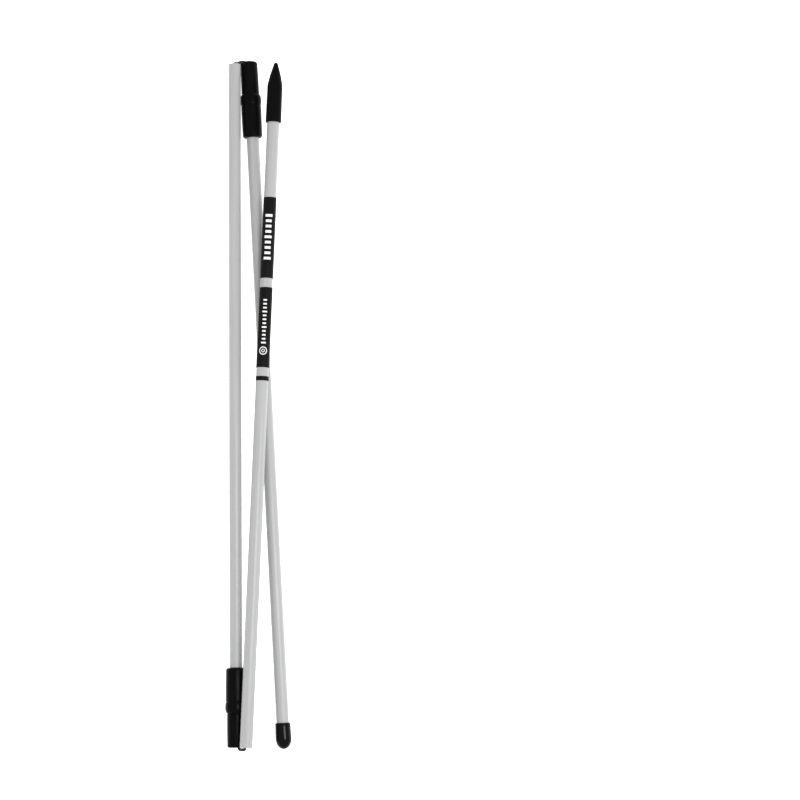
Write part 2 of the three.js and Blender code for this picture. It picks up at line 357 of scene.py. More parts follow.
ZINC_PLATE = Finish(
    name="zinc_plate",
    dark=(0.42, 0.43, 0.45),
    light=(0.56, 0.57, 0.6),
    gloss=(0.25, 0.42),
    specular=0.5,
    kind=Noise.EVEN,
    blotch=0.6 * MM,
    texture_size=0.12 * MM,
    texture_depth=0.01 * MM,
    texture_strength=0.3,
    metallic=1.0,
)
STUDIO_PAPER = Finish(
    name="studio_paper",
    dark=(0.93, 0.93, 0.93),
    light=(0.95, 0.95, 0.95),
    gloss=(0.9, 0.95),
    specular=0.05,
    kind=Noise.EVEN,
    blotch=60 * MM,
    texture_size=2 * MM,
    texture_depth=0.02 * MM,
    texture_strength=0.1,
    glow=0.85,
)


class Paint:
    """Makes each finish's material once, and hands it out."""

    def __init__(self) -> None:
        """Starts with no material made."""
        self._made: dict[str, bpy.types.Material] = {}

    def of(self, finish: Finish) -> bpy.types.Material:
        """The material of a finish."""
        if finish.name not in self._made:
            self._made[finish.name] = finish.build()
        return self._made[finish.name]


# ------------------------------------------------------------------ shapes


def rounded(
    centre: tuple[float, float],
    radii: tuple[float, float],
    sweep: tuple[float, float],
    steps: int,
) -> Outline:
    """Points on part of an ellipse in an outline.

    Args:
        centre: the ellipse's centre, as (radius, y).
        radii: its half-widths across and along.
        sweep: the first and last angle in degrees, where 0 is outward and 90 is along Y.
        steps: how many chords it has.

    Returns:
        The points from the first angle to the last.
    """
    points = []
    for i in range(steps + 1):
        angle = math.radians(sweep[0] + (sweep[1] - sweep[0]) * i / steps)
        points.append(
            (centre[0] + radii[0] * math.cos(angle), centre[1] + radii[1] * math.sin(angle))
        )
    return points


def mirrored(points: Outline, middle: float) -> Outline:
    """The same points on the far side of y = middle, in the order that goes on from there."""
    return [(radius, 2 * middle - y) for radius, y in reversed(points)]


def finished(
    name: str, mesh: bmesh.types.BMesh, materials: Sequence[bpy.types.Material], crease: float
) -> bpy.types.Object:
    """Turns mesh work into an object in the scene, smooth but for its sharp edges.

    Args:
        name: the object's name.
        mesh: the mesh work, which is freed.
        materials: the materials that its faces' indices name.
        crease: the angle in degrees over which an edge stays sharp.

    Returns:
        The object.
    """
    bmesh.ops.recalc_face_normals(mesh, faces=mesh.faces)
    data = bpy.data.meshes.new(name)
    mesh.to_mesh(data)
    mesh.free()
    for material in materials:
        data.materials.append(material)
    data.shade_smooth()
    data.set_sharp_from_angle(angle=math.radians(crease))
    thing = bpy.data.objects.new(name, data)
    bpy.context.scene.collection.objects.link(thing)
    return thing


def revolve(
    outline: Outline, sides: int, relief: Relief | None = None, cut_ends: bool = False
) -> bmesh.types.BMesh:
    """Turns an outline about the Y axis into one closed body.

    Args:
        outline: (radius, y) points that start and end on the axis, or close on themselves.
        sides: how many sides a turn has.
        relief: gives the radius at an (angle, y, radius), or None for a plain turning.
        cut_ends: whether faces square to the axis take the second material.

    Returns:
        The mesh work.
    """
    mesh = bmesh.new()
    closes = math.dist(outline[0], outline[-1]) < 1e-9
    points = outline[:-1] if closes else outline
    rings: list[list[bmesh.types.BMVert]] = []
    for radius, y in points:
        if radius < 1e-9:
            rings.append([mesh.verts.new((0.0, y, 0.0))])
            continue
        ring = []
        for i in range(sides):
            angle = 2 * math.pi * i / sides
            r = relief(angle, y, radius) if relief else radius
            ring.append(mesh.verts.new((r * math.sin(angle), y, r * math.cos(angle))))
        rings.append(ring)
    count = len(rings)
    for i in range(count if closes else count - 1):
        here, there = rings[i], rings[(i + 1) % count]
        square = cut_ends and abs(points[i][1] - points[(i + 1) % count][1]) < 1e-7
        for k in range(sides):
            n = (k + 1) % sides
            if len(here) == 1:
                corners = [here[0], there[k], there[n]]
            elif len(there) == 1:
                corners = [here[k], here[n], there[0]]
            else:
                corners = [here[k], here[n], there[n], there[k]]
            mesh.faces.new(corners).material_index = int(square)
    return mesh


@dataclass(frozen=True)
class PartingLine:
    """The fine raised line that a two-part mould leaves down both sides of a moulding."""

    height: float = 0.035 * MM
    width: float = 0.16 * MM
    turned: float = 0.6

    def __call__(self, angle: float, y: float, radius: float) -> float:
        """The radius with the line on it.

        Args:
            angle: the angle round the axis, in radians.
            y: the place along the axis.
            radius: the plain radius.

        Returns:
            The radius to use.
        """
        away = abs(math.remainder(angle - self.turned, math.pi)) * radius
        return radius + self.height * math.exp(-((away / self.width) ** 2))


def sweep(
    route: Sequence[Vector], sides: int, radius: Callable[[float, float], float]
) -> bmesh.types.BMesh:
    """A closed round cord along a route.

    Args:
        route: the points along its middle.
        sides: how many sides it has.
        radius: gives the radius at an (angle, distance along).

    Returns:
        The mesh work.
    """
    mesh = bmesh.new()
    heading = (route[1] - route[0]).normalized()
    side = heading.orthogonal().normalized()
    along, rings = 0.0, []
    for i, point in enumerate(route):
        before, after = route[max(i - 1, 0)], route[min(i + 1, len(route) - 1)]
        new_heading = (after - before).normalized()
        side = heading.rotation_difference(new_heading) @ side
        heading = new_heading
        other = heading.cross(side)
        if i:
            along += (point - route[i - 1]).length
        ring = []
        for k in range(sides):
            angle = 2 * math.pi * k / sides
            out = side * math.cos(angle) + other * math.sin(angle)
            ring.append(mesh.verts.new(point + out * radius(angle, along)))
        rings.append(ring)
    for here, there in zip(rings, rings[1:]):
        for k in range(sides):
            n = (k + 1) % sides
            mesh.faces.new([here[k], here[n], there[n], there[k]])
    mesh.faces.new(list(reversed(rings[0])))
    mesh.faces.new(rings[-1])
    return mesh


def smooth_route(points: Sequence[Vector], step: float) -> list[Vector]:
    """A smooth route through chosen points.

    Args:
        points: the points that it passes through.
        step: about how far apart its own points are.

    Returns:
        The route's points.
    """
    route: list[Vector] = []
    ends = [2 * points[0] - points[1], *points, 2 * points[-1] - points[-2]]
    for p0, p1, p2, p3 in zip(ends, ends[1:], ends[2:], ends[3:]):
        knots = [0.0]
        for a, b in ((p0, p1), (p1, p2), (p2, p3)):
            knots.append(knots[-1] + max((b - a).length, 1e-9) ** 0.5)
        t0, t1, t2, t3 = knots
        count = max(1, round((p2 - p1).length / step))
        for i in range(count):
            t = t1 + (t2 - t1) * i / count
            a1 = p0 * ((t1 - t) / (t1 - t0)) + p1 * ((t - t0) / (t1 - t0))
            a2 = p1 * ((t2 - t) / (t2 - t1)) + p2 * ((t - t1) / (t2 - t1))
            a3 = p2 * ((t3 - t) / (t3 - t2)) + p3 * ((t - t2) / (t3 - t2))
            b1 = a1 * ((t2 - t) / (t2 - t0)) + a2 * ((t - t0) / (t2 - t0))
            b2 = a2 * ((t3 - t) / (t3 - t1)) + a3 * ((t - t1) / (t3 - t1))
            route.append(b1 * ((t2 - t) / (t2 - t1)) + b2 * ((t - t1) / (t2 - t1)))
    route.append(points[-1].copy())
    return route


# ------------------------------------------------------------------ the frame's sections


@dataclass
class SectionFrame:
    """Where one section of the stick lies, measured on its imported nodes."""

    body: str
    tube: str
    tube_start: float
    nodes: dict[str, bpy.types.Object]
    origin: Vector = field(init=False)
    along: Vector = field(init=False)

    def __post_init__(self) -> None:
        """Finds the section's axis from its tube's two end faces."""
        points = self.corners(self.tube)
        low = min(points, key=lambda p: p.y)
        high = max(points, key=lambda p: p.y)
        guess = (high - low).normalized()
        if self.body == "round_section":
            guess = -guess  # it lies the other way about
        for _ in range(3):
            reach = [p.dot(guess) for p in points]
            near = self._middle(points, reach, min(reach))
            far = self._middle(points, reach, max(reach))
            guess = (far - near).normalized()
        self.along = guess
        self.origin = near - guess * self.tube_start

    @staticmethod
    def _middle(points: list[Vector], reach: list[float], limit: float) -> Vector:
        """The middle of the points whose reach is at a limit."""
        ring = {
            tuple(round(c, 6) for c in p) for p, r in zip(points, reach) if abs(r - limit) < MM
        }
        return sum((Vector(p) for p in ring), Vector()) / len(ring)

    def corners(self, node: str) -> list[Vector]:
        """A node's vertices."""
        return [v.co.copy() for v in self.nodes[node].data.vertices]

    @property
    def matrix(self) -> Matrix:
        """The section's own frame: Y along it, and Z as near up as that allows."""
        up = Vector((0, 0, 1))
        up = (up - self.along * up.dot(self.along)).normalized()
        across = self.along.cross(up)
        frame = Matrix((across, self.along, up)).transposed().to_4x4()
        frame.translation = self.origin
        return frame

    def span(self, node: str) -> tuple[float, float]:
        """Where a node starts and ends along the section."""
        reach = [(p - self.origin).dot(self.along) for p in self.corners(node)]
        return min(reach), max(reach)

    def radii(self, node: str) -> tuple[float, float]:
        """A node's least and greatest distance from the section's axis."""
        found = []
        for p in self.corners(node):
            away = p - self.origin
            found.append((away - self.along * away.dot(self.along)).length)
        return min(found), max(found)

    def at(self, along: float) -> Vector:
        """The point on the axis at a distance along the section."""
        return self.origin + self.along * along

    def settle(self, thing: bpy.types.Object, slot: str | None, *nodes: str) -> bpy.types.Object:
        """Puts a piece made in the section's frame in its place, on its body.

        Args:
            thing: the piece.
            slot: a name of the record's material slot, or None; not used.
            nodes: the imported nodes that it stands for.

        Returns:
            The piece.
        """
        thing.matrix_world = self.matrix
        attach(thing, self.body)
        if nodes:
            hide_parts(*nodes)
        LOG.info("%s rides on %s", thing.name, self.body)
        return thing


# ------------------------------------------------------------------ sub-assemblies


@dataclass
class Tube:
    """A pultruded tube, sawn square at its ends."""

    section: SectionFrame
    chamfer: float = 0.16 * MM
    sides: int = 96

    def build(self, paint: Paint) -> bpy.types.Object:
        """Makes the tube with its sawn ends.

        Args:
            paint: hands out the materials.

        Returns:
            The tube.
        """
        start, end = self.section.span(self.section.tube)
        bore, outer = self.section.radii(self.section.tube)
        edge = self.chamfer
        outline = [
            (bore, start + edge / 2),
            (bore + edge / 2, start),
            (outer - edge, start),
            *rounded((outer - edge, start + edge), (edge, edge), (-75, 0), 4),
            *rounded((outer - edge, end - edge), (edge, edge), (0, 75), 4),
            (outer - edge, end),
            (bore + edge / 2, end),
            (bore, end - edge / 2),
            (bore, start + edge / 2),
        ]
        mesh = revolve(outline, self.sides, cut_ends=True)
        materials = [paint.of(FIBREGLASS), paint.of(CUT_FIBREGLASS)]
        tube = finished(f"pultruded_{self.section.tube}", mesh, materials, 40)
        return self.section.settle(tube, "fibreglass", self.section.tube)


@dataclass
class Sleeve:
    """A moulded sleeve: a mouth half, a bead, and a thicker half bonded to its section's tube."""

    section: SectionFrame
    node: str
    mouth_wall: float = 1.45 * MM
    bond_wall: float = 2.15 * MM
    end_taper: float = 0.12 * MM
    mouth_corner: float = 1.1 * MM
    bond_corner: float = 1.7 * MM
    stop: float = 1.0 * MM
    mouth_chamfer: float = 0.3 * MM
    bead_length: float = 6.8 * MM
    groove_width: float = 0.42 * MM
    groove_depth: float = 0.18 * MM
    glue_depth: float = 1.2 * MM
    sides: int = 192

    def _half(self, socket: float, outer: float, corner: float, middle: float) -> Outline:
        """The outside of one half, from its end at y = 0 to the groove by the bead.

        Args:
            socket: the socket's radius.
            outer: the half's outer radius.
            corner: the radius of its end's rounded corner.
            middle: how far the bead's middle is from the end.

        Returns:
            The outline's points.
        """
        lip = socket + self.mouth_chamfer * 0.6
        groove = middle - self.bead_length / 2 - self.groove_width
        ease = 0.3 * MM
        rim = (outer - self.end_taper - corner, corner)
        return [
            (lip, 0.0),
            *rounded(rim, (corner, corner), (-88, 0), 10),
            (outer - self.end_taper * 0.35, 9 * MM),
            (outer, groove - 1.1 * MM),
            *rounded((outer - ease, groove - ease), (ease, ease), (10, 80), 4),
            (outer - self.groove_depth, groove + 0.05 * MM),
            (outer - self.groove_depth, groove + self.groove_width - 0.08 * MM),
        ]

    def _half_bead(
        self, outer: float, bead_r: float, middle: float, turn: tuple[float, float]
    ) -> Outline:
        """Half of the bead, on the groove beside it.

        Args:
            outer: the outer radius of the half that it meets.
            bead_r: the bead's greatest radius.
            middle: where its middle is.
            turn: its first and last angle in degrees.

        Returns:
            The outline's points.
        """
        floor = outer - self.groove_depth
        return rounded((floor, middle), (bead_r - floor, self.bead_length / 2), turn, 14)

    def build(self, paint: Paint) -> list[bpy.types.Object]:
        """Makes the sleeve and the epoxy that shows at its bonded end.

        Args:
            paint: hands out the materials.

        Returns:
            The two pieces.
        """
        start, end = self.section.span(self.node)
        hole, bead_r = self.section.radii(self.node)
        tube_r = self.section.radii(self.section.tube)[1]
        socket = tube_r + BOND_LINE
        mouth_r, bond_r = socket + self.mouth_wall, socket + self.bond_wall
        middle = (start + end) / 2
        half_stop = self.stop / 2
        inside = [
            (hole, middle - half_stop + 0.15 * MM),
            (hole + 0.15 * MM, middle - half_stop),
            (socket - 0.3 * MM, middle - half_stop),
            (socket, middle - half_stop - 0.3 * MM),
            (socket, start + self.mouth_chamfer),
            (socket + self.mouth_chamfer * 0.6, start),
        ]
        outline = [
            *self._half(socket, mouth_r, self.mouth_corner, middle),
            *self._half_bead(mouth_r, bead_r, middle, (-84, 0)),
            *self._half_bead(bond_r, bead_r, middle, (0, 84))[1:],
            *mirrored(self._half(socket, bond_r, self.bond_corner, middle), middle),
            *mirrored(inside, middle)[1:],
            *inside,
        ]
        mesh = revolve(outline, self.sides, PartingLine())
        sleeve = finished(f"moulded_{self.node}", mesh, [paint.of(BLACK_MOULDING)], 38)
        self.section.settle(sleeve, "black_moulding", self.node)
        glue_start = end - self.glue_depth
        fillet = [
            (tube_r + 0.01 * MM, glue_start),
            (socket - 0.01 * MM, glue_start),
            (socket - 0.01 * MM, end - self.mouth_chamfer),
            (socket + 0.08 * MM, end - 0.12 * MM),
            (socket, end + 0.02 * MM),
            (tube_r + 0.04 * MM, end + 0.12 * MM),
            (tube_r + 0.01 * MM, end + 0.2 * MM),
            (tube_r + 0.01 * MM, glue_start),
        ]
        bond = finished(f"{self.node}_bond", revolve(fillet, 96), [paint.of(GLUE)], 60)
        self.section.settle(bond, None)
        return [sleeve, bond]


@dataclass(frozen=True)
class FittingHollow:
    """The inside of a fitting on a tube's end: a socket, a ledge and room for washer and knot."""

    ledge: float
    end_r: float
    depth: float
    mouth_ease: float
    seat: float = 1.0 * MM
    ledge_end: float = 1.2 * MM
    washer_room: float = 3.3 * MM
    end_rise: float = 0.2 * MM

    def outline(self, socket: float, tube_end: float, rim: float) -> Outline:
        """The hollow's outline, from the axis to the rim.

        Args:
            socket: the socket's radius.
            tube_end: where the tube's end is.
            rim: where the fitting's rim is.

        Returns:
            The outline's points.
        """
        narrow = socket - self.ledge
        return [
            (0.0, tube_end + self.depth),
            (self.end_r, tube_end + self.depth - self.end_rise),
            (narrow, tube_end + self.washer_room),
            (narrow, tube_end + self.ledge_end),
            (socket, tube_end + self.seat),
            (socket, rim + self.mouth_ease),
            (socket + 0.12 * MM, rim),
        ]


@dataclass
class GroundTip:
    """The pointed tip that is pushed into turf."""

    section: SectionFrame
    nose_length: float = 15.5 * MM
    nose_curve: float = 1.35
    rim_wall: float = 0.85 * MM
    shoulder_wall: float = 0.7 * MM
    point_r: float = 1.3 * MM
    rim_corner: float = 0.7 * MM
    nose_steps: int = 28
    sides: int = 192
    hollow: FittingHollow = FittingHollow(0.15 * MM, 2.2 * MM, 6.2 * MM, 0.3 * MM)

    def build(self, paint: Paint) -> bpy.types.Object:
        """Makes the hollow tip.

        Args:
            paint: hands out the materials.

        Returns:
            The tip.
        """
        start, end = self.section.span("point_tip")
        tube_r = self.section.radii("point_tube")[1]
        tube_end = self.section.span("point_tube")[1]
        socket = tube_r + BOND_LINE
        rim_r, shoulder_r = socket + self.rim_wall, socket + self.shoulder_wall
        shoulder = end - self.nose_length
        corner, point_r = self.rim_corner, self.point_r
        fall = (shoulder_r - point_r) * self.nose_curve / (self.nose_length - point_r)
        turn = math.atan(fall)
        nose_end = end - point_r * (1 - math.sin(turn))
        nose: Outline = []
        for i in range(self.nose_steps):
            share = i / self.nose_steps
            drop = (shoulder_r - point_r * math.cos(turn)) * share**self.nose_curve
            nose.append((shoulder_r - drop, shoulder + (nose_end - shoulder) * share))
        outline = [
            *self.hollow.outline(socket, tube_end, start),
            *rounded((rim_r - corner, start + corner), (corner, corner), (-88, 0), 8),
            *nose,
            *rounded((0.0, end - point_r), (point_r, point_r), (math.degrees(turn), 88), 8),
            (0.0, end),
        ]
        mesh = revolve(outline, self.sides, PartingLine(turned=1.1))
        tip = finished("moulded_ground_tip", mesh, [paint.of(BLACK_MOULDING)], 38)
        return self.section.settle(tip, "black_moulding", "point_tip")


@dataclass
class EndCap:
    """The dipped vinyl cap, a bullet with a rolled rim."""

    section: SectionFrame
    dome_length: float = 6.4 * MM
    skin: float = 0.85 * MM
    rim_taper: float = 0.15 * MM
    rim_roll: float = 0.65 * MM
    grip: float = 0.1 * MM
    skin_gap: float = 0.05 * MM
    sag: float = 0.004
    sag_length: float = 4 * MM
    sides: int = 128
    hollow: FittingHollow = FittingHollow(0.1 * MM, 2.0 * MM, 6.1 * MM, 0.25 * MM)

    def _sag(self, angle: float, y: float, radius: float) -> float:
        """The slight unevenness of a dipped skin."""
        return radius * (1 + self.sag * math.sin(2 * angle + 0.4) * math.sin(y / self.sag_length))

    def build(self, paint: Paint) -> bpy.types.Object:
        """Makes the hollow cap.

        Args:
            paint: hands out the materials.

        Returns:
            The cap.
        """
        start, end = self.section.span("round_cap")
        tube_r = self.section.radii("round_tube")[1]
        tube_end = self.section.span("round_tube")[1]
        socket = tube_r + self.grip
        outer = socket + self.skin_gap + self.skin
        rim_r = outer - self.rim_taper
        roll = self.rim_roll
        dome = end - self.dome_length
        outline = [
            *self.hollow.outline(socket, tube_end, start),
            *rounded((rim_r - roll * 0.9, start + roll), (roll * 0.9, roll), (-86, 20), 10),
            (rim_r - 0.02 * MM, start + 2.6 * MM),
            (rim_r + 0.04 * MM, start + 5.2 * MM),
            *rounded((0.0, dome), (outer, self.dome_length), (0, 88), 26),
            (0.0, end),
        ]
        mesh = revolve(outline, self.sides, self._sag)
        cap = finished("dipped_round_cap", mesh, [paint.of(BLACK_VINYL)], 45)
        return self.section.settle(cap, "black_vinyl", "round_cap")


@dataclass(frozen=True)
class Mark:
    """One printed mark: a strip between two rows of (angle, share of the wrap's length)."""

    low: Outline
    high: Outline
    closed: bool = False

    @staticmethod
    def tick(start: float, length: float, half_angle: float) -> Mark:
        """A bar across the tube.

        Args:
            start: where it starts, as a share of the wrap's length.
            length: its length, as the same share.
            half_angle: half of the angle that it spans round the tube.

        Returns:
            The mark.
        """
        steps = 8
        angles = [half_angle * (2 * i / steps - 1) for i in range(steps + 1)]
        return Mark([(at, start) for at in angles], [(at, start + length) for at in angles])

    @staticmethod
    def ring(middle: float, outer: float, stroke: float, reach: float) -> Mark:
        """A round ring.

        Args:
            middle: where its middle is, as a share of the wrap's length.
            outer: its outer radius, as an angle round the tube.
            stroke: its width, as an angle.
            reach: the share of the wrap's length that one unit of angle covers.

        Returns:
            The mark.
        """
        steps = 40
        rows = []
        for radius in (outer - stroke, outer):
            row = []
            for i in range(steps):
                turn = math.tau * i / steps
                row.append((radius * math.cos(turn), middle + radius * reach * math.sin(turn)))
            rows.append(row)
        return Mark(rows[0], rows[1], closed=True)


@dataclass(frozen=True)
class TickRow:
    """A row of ticks, in shares of a wrap's length and angles round the tube."""

    count: int
    start: float
    pitch: float
    length: float
    half_angle: float
    long_half_angle: float
    long_every: int = 4

    def marks(self) -> list[Mark]:
        """The row's ticks, where every few are longer."""
        marks = []
        for i in range(self.count):
            half_angle = self.half_angle if i % self.long_every else self.long_half_angle
            marks.append(Mark.tick(self.start + self.pitch * i, self.length, half_angle))
        return marks


@dataclass
class LabelWraps:
    """The printed film wraps, with plain ticks and rings where a maker would put its name."""

    section: SectionFrame
    bold: TickRow = TickRow(9, 0.225, 0.066, 0.032, 0.46, 0.56)
    fine: TickRow = TickRow(12, 0.294, 0.0485, 0.02, 0.27, 0.36)
    ring_middle: float = 0.205
    ring_r: float = 0.62
    ring_stroke: float = 0.14
    dot_r: float = 0.26
    dot_stroke: float = 0.1
    ink: float = 0.02 * MM
    seam: float = 0.06 * MM
    seam_angle: float = 0.35
    sides: int = 128

    def _inked(self, name: str, node: str, marks: list[Mark], paint: Paint) -> bpy.types.Object:
        """Prints marks on a wrap.

        Args:
            name: the piece's name.
            node: the wrap's node.
            marks: what is printed.
            paint: hands out the materials.

        Returns:
            The printed marks as one piece.
        """
        start, end = self.section.span(node)
        film = self.section.radii(node)[1]
        mesh = bmesh.new()
        for mark in marks:
            shells = []
            for radius in (film - 0.01 * MM, film + self.ink):
                rows = []
                for points in (mark.low, mark.high):
                    row = []
                    for angle, share in points:
                        y = start + (end - start) * share
                        spot = (radius * math.sin(angle), y, radius * math.cos(angle))
                        row.append(mesh.verts.new(spot))
                    rows.append(row)
                shells.append(rows)
            under, over = shells
            count = len(mark.low)
            for i in range(count if mark.closed else count - 1):
                k = (i + 1) % count
                for rows in shells:
                    mesh.faces.new([rows[0][i], rows[0][k], rows[1][k], rows[1][i]])
                for side in (0, 1):
                    edge = [under[side][i], under[side][k], over[side][k], over[side][i]]
                    mesh.faces.new(edge)
            for i in () if mark.closed else (0, count - 1):
                mesh.faces.new([under[0][i], under[1][i], over[1][i], over[0][i]])
        printed = finished(name, mesh, [paint.of(WHITE_INK)], 30)
        return self.section.settle(printed, None)

    def _film(self, node: str, paint: Paint) -> bpy.types.Object:
        """A wrap of film with a lapped seam on its underside.

        Args:
            node: the wrap's node.
            paint: hands out the materials.

        Returns:
            The film.
        """
        start, end = self.section.span(node)
        inner, outer = self.section.radii(node)
        edge = 0.04 * MM

        def lap(angle: float, y: float, radius: float) -> float:
            """A step of one film's thickness, under the stick."""
            turn = math.remainder(angle - math.pi, 2 * math.pi)
            on_lap = 0 <= turn < self.seam_angle and radius > (inner + outer) / 2
            return radius + (self.seam if on_lap else 0.0)

        outline = [
            (inner, start),
            (outer - edge, start),
            (outer, start + edge),
            (outer, end - edge),
            (outer - edge, end),
            (inner, end),
            (inner, start),
        ]
        mesh = revolve(outline, self.sides, lap)
        film = finished(f"film_{node}", mesh, [paint.of(BLACK_FILM)], 35)
        return self.section.settle(film, "black_wrap", node)

    def build(self, paint: Paint) -> list[bpy.types.Object]:
        """Makes the three wraps and what is printed on them.

        Args:
            paint: hands out the materials.

        Returns:
            The pieces.
        """
        pieces = [self._film(f"{name}_label_band", paint) for name in ("upper", "lower", "thin")]
        start, end = self.section.span("lower_label_band")
        reach = self.section.radii("lower_label_band")[1] / (end - start)
        lower = [
            *self.fine.marks(),
            Mark.ring(self.ring_middle, self.ring_r, self.ring_stroke, reach),
            Mark.ring(self.ring_middle, self.dot_r, self.dot_stroke, reach),
        ]
        upper = self.bold.marks()
        pieces.append(self._inked("upper_label_ticks", "upper_label_band", upper, paint))
        pieces.append(self._inked("lower_label_ticks", "lower_label_band", lower, paint))
        return pieces


@dataclass
class Cord:
    """The elastic cord: rubber strands in a braided cover, one stretch to a node."""

    middle: SectionFrame
    point: SectionFrame
    round: SectionFrame
    braid_depth: float = 0.07 * MM
    strands: int = 8
    pitch: float = 3.2 * MM
    sides: int = 48
    lip_clearance: float = 0.15 * MM
    upper_swing: float = math.radians(60)
    knot_length: float = 4.4 * MM
    sweep_step: float = 0.13 * MM
    washer_edge: float = 0.12 * MM

    def _braid(self, radius: float) -> Callable[[float, float], float]:
        """The radius of a braided cover.

        Args:
            radius: the cord's nominal radius.

        Returns:
            A function of the angle and the distance along.
        """

        def at(angle: float, along: float) -> float:
            """The radius where two sets of strands cross over and under each other."""
            turn = angle / (2 * math.pi) * self.strands
            rise = along / self.pitch * self.strands
            left, right = turn + rise, turn - rise
            over = (math.floor(left) + math.floor(right)) % 2 == 0
            crown = abs(math.sin(math.pi * (left if over else right)))
            return radius - self.braid_depth + self.braid_depth * crown**0.6

        return at

    def _straight(self, name: str, section: SectionFrame, node: str, paint: Paint) -> None:
        """A straight stretch inside a section, with its stop knot if it has one.

        Args:
            name: the piece's name.
            section: the section that it is in.
            node: the node that it stands for.
            paint: hands out the materials.
        """
        start, end = section.span(node)
        widest = section.radii(node)[1]
        radius = self.radius
        outline: Outline = [(0.0, start), (radius, start)]
        knotted = widest > radius * 1.5
        if knotted:
            half_knot = self.knot_length / 2
            outline.append((radius, end - self.knot_length))
            outline += rounded((0.0, end - half_knot), (widest, half_knot), (-62, 86), 14)
        else:
            outline.append((radius, end))
        outline.append((0.0, end))
        cord = finished(name, revolve(outline, 24), [paint.of(BRAIDED_CORD)], 50)
        section.settle(cord, "black_cord", node)

    @property
    def radius(self) -> float:
        """The cord's radius."""
        return self.middle.radii("middle_cord")[1]

    def _folded(
        self,
        sleeved: SectionFrame,
        sleeve: str,
        plain: SectionFrame,
        plain_end: float,
        swing: float = 0.0,
    ) -> list[Vector]:
        """The route from one section's stop, over its sleeve's mouth, into a plain tube.

        Args:
            sleeved: the section whose sleeve it leaves.
            sleeve: that sleeve's node.
            plain: the section whose tube it enters.
            plain_end: where that tube's open end is along its section.
            swing: how far round both walls it lies, in radians.

        Returns:
            The points chosen along it.
        """
        mouth, outward = sleeved.at(0.0), -sleeved.along
        to_end = plain.at(plain_end) - mouth
        drop = to_end.dot(outward)
        across = to_end - outward * drop
        span = across.length
        across.normalize()
        stop = sum(sleeved.span(sleeve)) / 2
        bore, tube_r = plain.radii(plain.tube)
        off = self.radius + self.lip_clearance
        lip = tube_r + BOND_LINE
        tube_lip = span - bore
        over_both_walls = []
        for share in (0.25, 0.5, 0.75):
            eased = share * share * (3 - 2 * share)
            reach = lip + (tube_lip - lip) * share
            over_both_walls.append((reach, off + drop * eased + 0.03 * MM))
        points = [
            (0.0, -stop),
            (0.0, -16 * MM),
            (0.7 * MM, -10 * MM),
            (1.8 * MM, -4 * MM),
            (lip - off - 0.05 * MM, -1.2 * MM),
            (lip - off + 0.1 * MM, 0.0),
            (lip - 0.7 * off, 0.7 * off),
            (lip, off),
            *over_both_walls,
            (tube_lip + 0.35 * MM, drop + off),
            (tube_lip + 0.8 * off, drop + 0.5 * off),
            (tube_lip + off - 0.05 * MM, drop - 0.5 * MM),
            (span - 0.4 * MM, drop - 3 * MM),
            (span, drop - 6 * MM),
            (span, drop - 8 * MM),
        ]
        inward = plain.along if plain_end < MM else -plain.along
        slant = inward + outward
        below = across.cross(outward)

        def swung(reach: float) -> Vector:
            """The place at a distance across: about one wall, straight over, about the other."""
            near = Matrix.Rotation(swing, 2) @ Vector((min(reach, lip), 0.0))
            far = Matrix.Rotation(-swing, 2) @ Vector((max(reach, tube_lip) - span, 0.0))
            far.x += span
            share = min(1.0, max(0.0, (reach - lip) / (tube_lip - lip)))
            flat = near.lerp(far, share)
            return mouth + across * flat.x + below * flat.y

        route = []
        for reach, out in points:
            place = swung(reach) + outward * out
            if reach > span / 2:
                place += slant * max(0.0, drop - out)
            route.append(place)
        return route

    def _loop(
        self,
        node: str,
        points: list[Vector],
        bodies: tuple[str, str],
        paint: Paint,
    ) -> None:
        """The braided stretch over a fold, made once in its folded shape.

        Args:
            node: the node that it stands for.
            points: the points along it, from its sleeve to its plain tube.
            bodies: the body at its first end and the body at its last.
            paint: hands out the materials.
        """
        route = smooth_route(points, self.sweep_step)
        mesh = sweep(route, self.sides, self._braid(self.radius))
        loop = finished(f"braided_{node}", mesh, [paint.of(BRAIDED_CORD)], 70)
        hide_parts(node)
        # straight across, so that the cord's depth in a section doesn't count
        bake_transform(loop)
        LOG.info("%s bends between %s and %s", loop.name, *bodies)

    def _washer(self, section: SectionFrame, node: str, paint: Paint) -> None:
        """The washer that a stop knot bears on.

        Args:
            section: the section that it is in.
            node: the node that it stands for.
            paint: hands out the materials.
        """
        start, end = section.span(node)
        hole, rim = section.radii(node)
        edge = self.washer_edge
        outline = [
            (hole, start + edge),
            (hole + edge, start),
            (rim - edge, start),
            (rim, start + edge),
            (rim, end - edge),
            (rim - edge, end),
            (hole + edge, end),
            (hole, end - edge),
            (hole, start + edge),
        ]
        washer = finished(f"plated_{node}", revolve(outline, 64), [paint.of(ZINC_PLATE)], 30)
        section.settle(washer, "zinc_plate", node)

    def build(self, paint: Paint) -> None:
        """Makes every stretch of the cord and its two stop washers.

        Args:
            paint: hands out the materials.
        """
        self._straight("cord_in_middle_tube", self.middle, "middle_cord", paint)
        self._straight("cord_in_point_tube", self.point, "point_cord", paint)
        self._straight("cord_in_round_tube", self.round, "round_cord", paint)
        lower = self._folded(self.middle, "middle_sleeve", self.point, 0.0)
        self._loop("lower_cord_loop", lower, ("middle_section", "lower_link"), paint)
        middle_end = self.middle.span("middle_tube")[1]
        upper = self._folded(self.round, "round_sleeve", self.middle, middle_end, self.upper_swing)
        self._loop("upper_cord_loop", upper, ("round_section", "upper_link"), paint)
        self._washer(self.point, "point_cord_washer", paint)
        self._washer(self.round, "round_cord_washer", paint)


# ------------------------------------------------------------------ studio


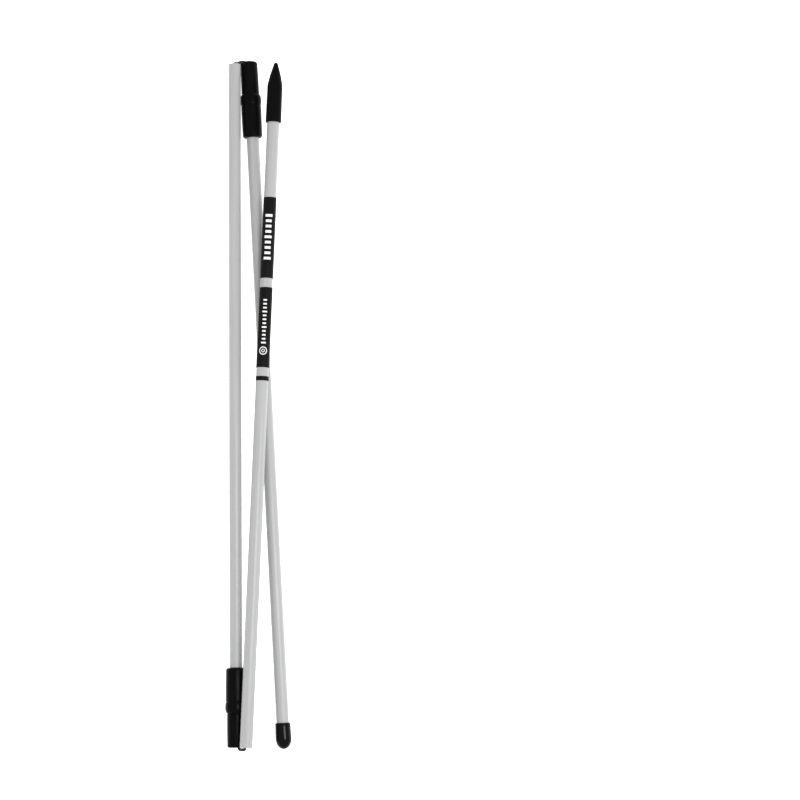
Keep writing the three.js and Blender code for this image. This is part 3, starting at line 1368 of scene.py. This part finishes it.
@dataclass
class Studio:
    """A white sweep under soft light, seen from above one end of the folded stick."""

    centre: Vector
    camera_height: float = 1.6
    camera_beside: float = 0.0873
    camera_back: float = 0.1992
    lens: float = 118.0
    tilt: float = math.radians(7.093)
    roll: float = math.radians(0.547)
    floor_half: float = 3.0
    floor_drop: float = 0.2 * MM
    air_strength: float = 1.25
    softbox_place: tuple[float, float, float] = (0.45, -0.15, 1.0)
    softbox_size: tuple[float, float] = (0.22, 0.42)
    softbox_power: float = 7.6

    def _floor(self, paint: Paint) -> None:
        """Lays the paper that the stick lies on."""
        mesh = bmesh.new()
        bmesh.ops.create_grid(mesh, x_segments=8, y_segments=8, size=self.floor_half)
        paper = finished("studio_floor", mesh, [paint.of(STUDIO_PAPER)], 60)
        paper.location = (self.centre.x, self.centre.y, -self.floor_drop)
        paper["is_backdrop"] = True

    def _softbox(self) -> None:
        """Hangs the softbox that faces the stick."""
        light = bpy.data.lights.new("right_softbox", "AREA")
        light.shape = "RECTANGLE"
        light.size, light.size_y = self.softbox_size
        light.energy = self.softbox_power
        lamp = bpy.data.objects.new("right_softbox", light)
        lamp.location = self.softbox_place
        aim = self.centre - lamp.location
        lamp.rotation_euler = aim.to_track_quat("-Z", "Y").to_euler()
        bpy.context.scene.collection.objects.link(lamp)

    def _camera(self) -> None:
        """Sets up the camera."""
        lens = bpy.data.cameras.new("overhead_camera")
        lens.lens = self.lens
        lens.sensor_width = 36.0
        lens.clip_start, lens.clip_end = 0.01, 20.0
        camera = bpy.data.objects.new("overhead_camera", lens)
        turned = Matrix.Rotation(self.tilt, 4, "X") @ Matrix.Rotation(-self.roll, 4, "Z")
        place = (self.camera_beside, -self.camera_back, self.camera_height)
        camera.matrix_world = Matrix.Translation(place) @ turned
        bpy.context.scene.collection.objects.link(camera)
        bpy.context.scene.camera = camera

    def build(self, paint: Paint) -> None:
        """Makes the floor, the lights and the camera.

        Args:
            paint: hands out the materials.
        """
        self._floor(paint)
        world = bpy.data.worlds.new("studio_air")
        world.use_nodes = True
        backdrop = world.node_tree.nodes["Background"]
        backdrop.inputs["Color"].default_value = (1.0, 1.0, 1.0, 1.0)
        backdrop.inputs["Strength"].default_value = self.air_strength
        bpy.context.scene.world = world
        self._softbox()
        bpy.context.scene.view_settings.view_transform = "Standard"
        self._camera()


def main() -> None:
    """Builds the stick's looks and its studio, piece by piece."""
    logging.basicConfig(level=logging.INFO, format="%(name)s: %(message)s")
    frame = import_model()
    cad_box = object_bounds()
    nodes = frame["nodes"]
    middle = SectionFrame("middle_section", "middle_tube", SLEEVED_TUBE_START, nodes)
    point = SectionFrame("point_section", "point_tube", 0.0, nodes)
    round_end = SectionFrame("round_section", "round_tube", SLEEVED_TUBE_START, nodes)
    paint = Paint()
    centre = (cad_box[0] + cad_box[1]) / 2
    Studio(centre).build(paint)
    for section in (middle, point, round_end):
        Tube(section).build(paint)
    Sleeve(middle, "middle_sleeve").build(paint)
    Sleeve(round_end, "round_sleeve").build(paint)
    GroundTip(point).build(paint)
    EndCap(round_end).build(paint)
    LabelWraps(point).build(paint)
    Cord(middle, point, round_end).build(paint)


if __name__ == "__main__":
    main()
